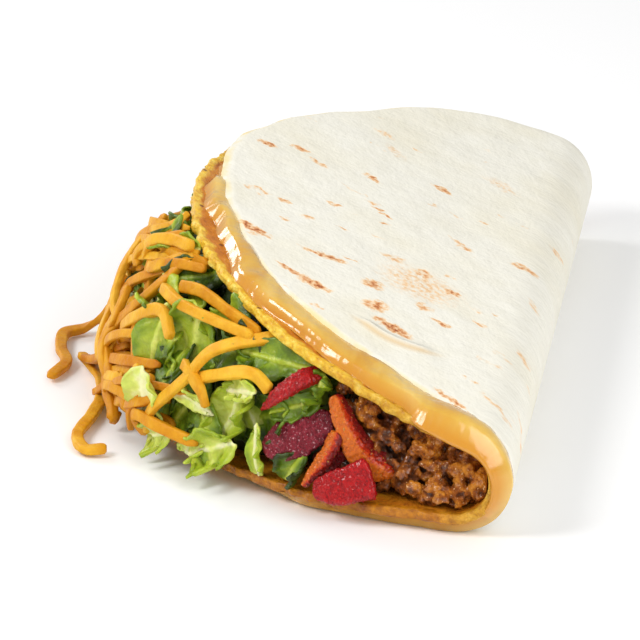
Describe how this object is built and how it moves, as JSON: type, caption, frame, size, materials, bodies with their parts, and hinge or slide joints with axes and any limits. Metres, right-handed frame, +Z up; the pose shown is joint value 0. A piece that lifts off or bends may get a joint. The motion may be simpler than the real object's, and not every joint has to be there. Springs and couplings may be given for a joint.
{
  "type": "taco",
  "caption": "Folded taco lying on its side: a crisp corn shell glued with cheese sauce into a soft flour tortilla, filled with beef, crisp strips, lettuce and grated cheddar.",
  "frame": {"origin": "on the table under the taco, midway along the fold and 36 mm in front of the fold's axis, on the soft tortilla's flat underside", "axes": "+X along the fold towards the near end with the crisp strips, -Y out of the opening, +Z up from the table"},
  "size_m": [0.1571, 0.0964, 0.0388],
  "materials": {
    "flour_tortilla": "soft matt flour tortilla, warm white with reddish toast specks",
    "cheese_sauce": "glossy melted cheese sauce, golden",
    "corn_shell": "crisp fried corn shell, golden with brown specks, slightly greasy",
    "ground_beef": "browned minced beef, moist",
    "lettuce": "fresh torn lettuce, pale to mid green, satin",
    "cheddar": "grated cheddar, orange, slightly oily",
    "red_strip": "crisp red tortilla strip, rough with pale specks",
    "purple_strip": "crisp dark magenta tortilla strip, rough with pale specks",
    "orange_strip": "crisp orange tortilla strip, fried"
  },
  "bodies": {
    "root": {"flour_tortilla": "flour_tortilla", "cheese_sauce": "cheese_sauce", "corn_shell": "corn_shell", "ground_beef": "ground_beef", "lettuce": "lettuce", "cheddar_shreds": "cheddar", "red_strip_upper": "red_strip", "purple_strip": "purple_strip", "orange_strip_long": "orange_strip", "orange_strip_short": "orange_strip", "red_strip_lower": "red_strip", "red_strip_back": "red_strip"}
  },
  "joints": []
}
